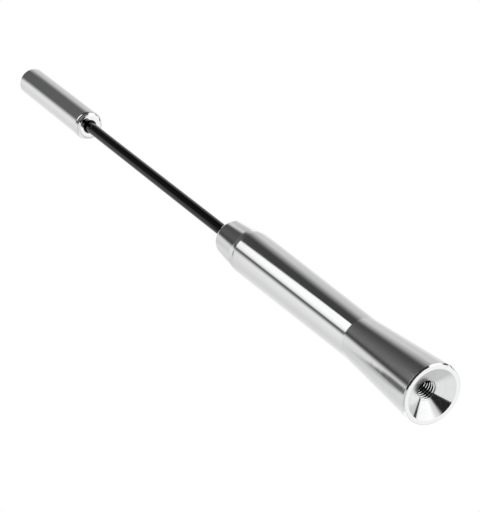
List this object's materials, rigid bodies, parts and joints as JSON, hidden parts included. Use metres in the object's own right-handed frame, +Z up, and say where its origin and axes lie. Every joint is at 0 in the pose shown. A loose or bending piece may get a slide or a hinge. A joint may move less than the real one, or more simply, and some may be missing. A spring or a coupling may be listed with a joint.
{
  "type": "car mast aerial",
  "caption": "Short screw-on car roof aerial: polished turned base with a flared foot and threaded hole, slim black sheathed mast, plain round cap.",
  "frame": {"origin": "centre of the foot, in the plane of the flat lip that sits on the car's stud base", "axes": "+Z up the mast from the foot to the cap; X and Y are free, because the part is turned"},
  "size_m": [0.015, 0.015, 0.225],
  "materials": {
    "polished_alloy": "polished, with fine turning marks round the axis",
    "black_sheath": "satin black, extruded",
    "spring_steel": "drawn wire",
    "brass": "turned and crimped"
  },
  "bodies": {
    "root": {"base_grip": "polished_alloy", "mast_sleeve": "black_sheath", "mast_core": "spring_steel", "contact_ferrule": "brass", "tip_cap": "polished_alloy"}
  },
  "joints": []
}
